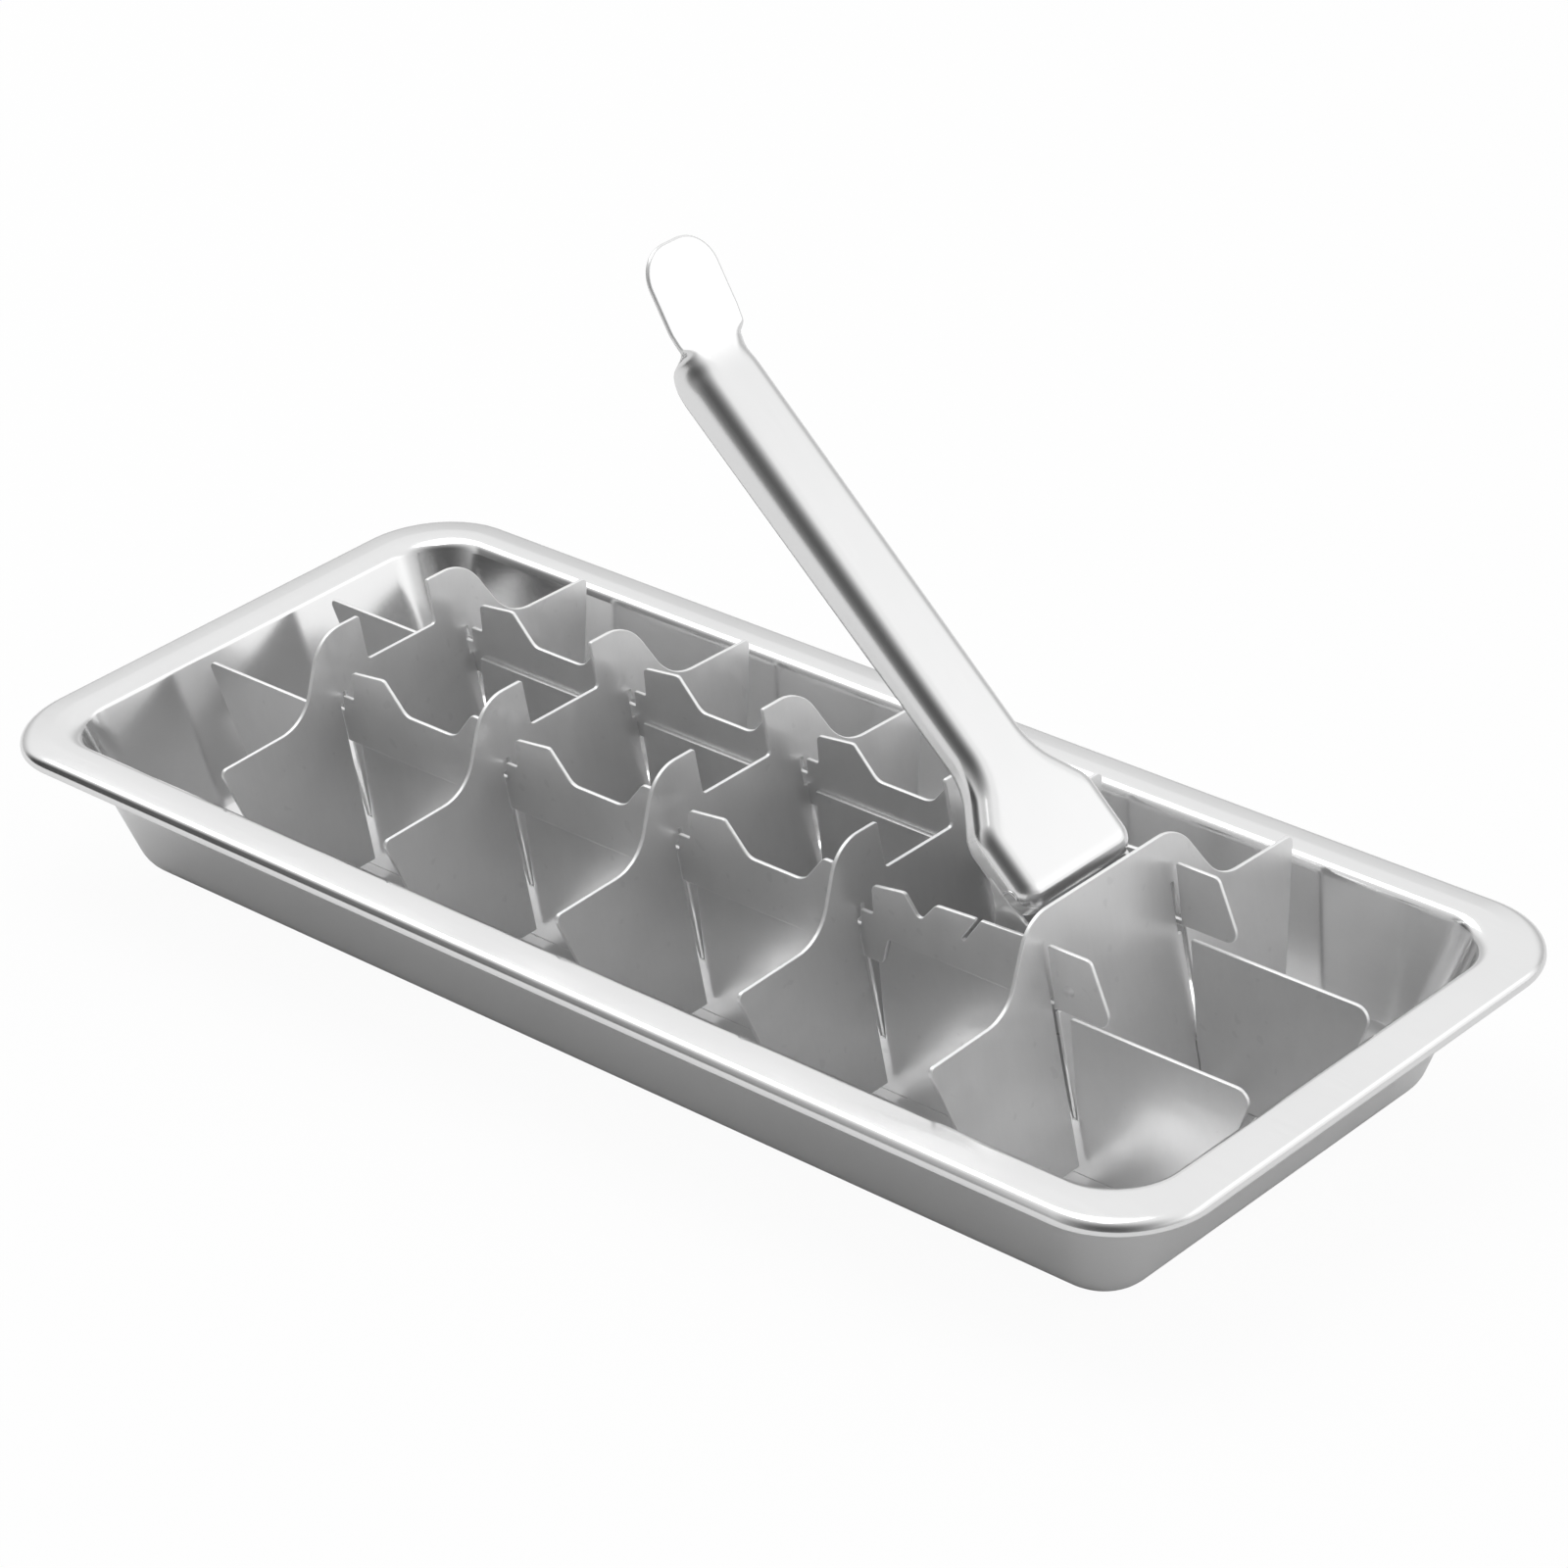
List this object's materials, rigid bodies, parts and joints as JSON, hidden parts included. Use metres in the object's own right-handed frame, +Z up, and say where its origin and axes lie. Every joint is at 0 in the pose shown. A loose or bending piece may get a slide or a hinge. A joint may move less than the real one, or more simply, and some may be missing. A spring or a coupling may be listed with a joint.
{
  "type": "lever ice cube tray",
  "caption": "Flanged metal tray with a lift-out grid of strips and leaning cross plates, rocked by a hinged lever through sliding combs to free the ice cubes.",
  "frame": {"origin": "centre of the tray's flat bottom", "axes": "+X along the tray towards the lever's hinge, +Y across the tray, +Z up"},
  "size_m": [0.28, 0.118, 0.1413],
  "materials": {
    "tray": "satin, lightly polished rim",
    "strip_near": "matt, bright cut edges",
    "strip_far": "matt, bright cut edges",
    "slide_near": "matt, bright cut edges",
    "slide_far": "matt, bright cut edges",
    "link_stud_near": "turned, plain",
    "link_stud_far": "turned, plain",
    "pivot_pins": "turned, plain",
    "lever": "satin, smooth pressed panel",
    "plate_1": "matt, bright cut edges",
    "plate_2": "matt, bright cut edges",
    "plate_3": "matt, bright cut edges",
    "plate_4": "matt, bright cut edges",
    "plate_5": "matt, bright cut edges"
  },
  "bodies": {
    "tray": {"tray": "tray"},
    "grid": {"strip_near": "strip_near", "strip_far": "strip_far", "pivot_pins": "pivot_pins"},
    "lever": {"lever": "lever"},
    "slide_near": {"slide_near": "slide_near", "link_stud_near": "link_stud_near"},
    "slide_far": {"slide_far": "slide_far", "link_stud_far": "link_stud_far"},
    "plate_1": {"plate_1": "plate_1"},
    "plate_2": {"plate_2": "plate_2"},
    "plate_3": {"plate_3": "plate_3"},
    "plate_4": {"plate_4": "plate_4"},
    "plate_5": {"plate_5": "plate_5"}
  },
  "joints": [
    {"name": "grid_lift", "type": "slide", "parent": "tray", "child": "grid", "axis": [0, 0, 1], "range_m": [0, 0.06]},
    {"name": "lever_hinge", "type": "hinge", "parent": "grid", "child": "lever", "pos_m": [0.0768, 0, 0.0365], "axis": [0, 1, 0], "range_deg": [-44.4, 30]},
    {"name": "slide_near_travel", "type": "slide", "parent": "grid", "child": "slide_near", "axis": [1, 0, 0], "range_m": [-0.00352, 0.0024]},
    {"name": "slide_far_travel", "type": "slide", "parent": "grid", "child": "slide_far", "axis": [1, 0, 0], "range_m": [-0.00352, 0.0024]},
    {"name": "plate_1_rock", "type": "hinge", "parent": "grid", "child": "plate_1", "pos_m": [-0.08214, 0, 0.0118], "axis": [0, 1, 0], "range_deg": [-8.22, 5.57]},
    {"name": "plate_2_rock", "type": "hinge", "parent": "grid", "child": "plate_2", "pos_m": [-0.03914, 0, 0.0118], "axis": [0, 1, 0], "range_deg": [-8.22, 5.57]},
    {"name": "plate_3_rock", "type": "hinge", "parent": "grid", "child": "plate_3", "pos_m": [0.00386, 0, 0.0118], "axis": [0, 1, 0], "range_deg": [-8.22, 5.57]},
    {"name": "plate_4_rock", "type": "hinge", "parent": "grid", "child": "plate_4", "pos_m": [0.04686, 0, 0.0118], "axis": [0, 1, 0], "range_deg": [-8.22, 5.57]},
    {"name": "plate_5_rock", "type": "hinge", "parent": "grid", "child": "plate_5", "pos_m": [0.08986, 0, 0.0118], "axis": [0, 1, 0], "range_deg": [-8.22, 5.57]}
  ],
  "couplings": [
    {"joint": "slide_near_travel", "follows": "lever_hinge", "m_per_rad": 0.00448},
    {"joint": "slide_far_travel", "follows": "lever_hinge", "m_per_rad": 0.00448},
    {"joint": "plate_1_rock", "follows": "lever_hinge", "ratio": 0.184},
    {"joint": "plate_2_rock", "follows": "lever_hinge", "ratio": 0.184},
    {"joint": "plate_3_rock", "follows": "lever_hinge", "ratio": 0.184},
    {"joint": "plate_4_rock", "follows": "lever_hinge", "ratio": 0.184},
    {"joint": "plate_5_rock", "follows": "lever_hinge", "ratio": 0.184}
  ]
}
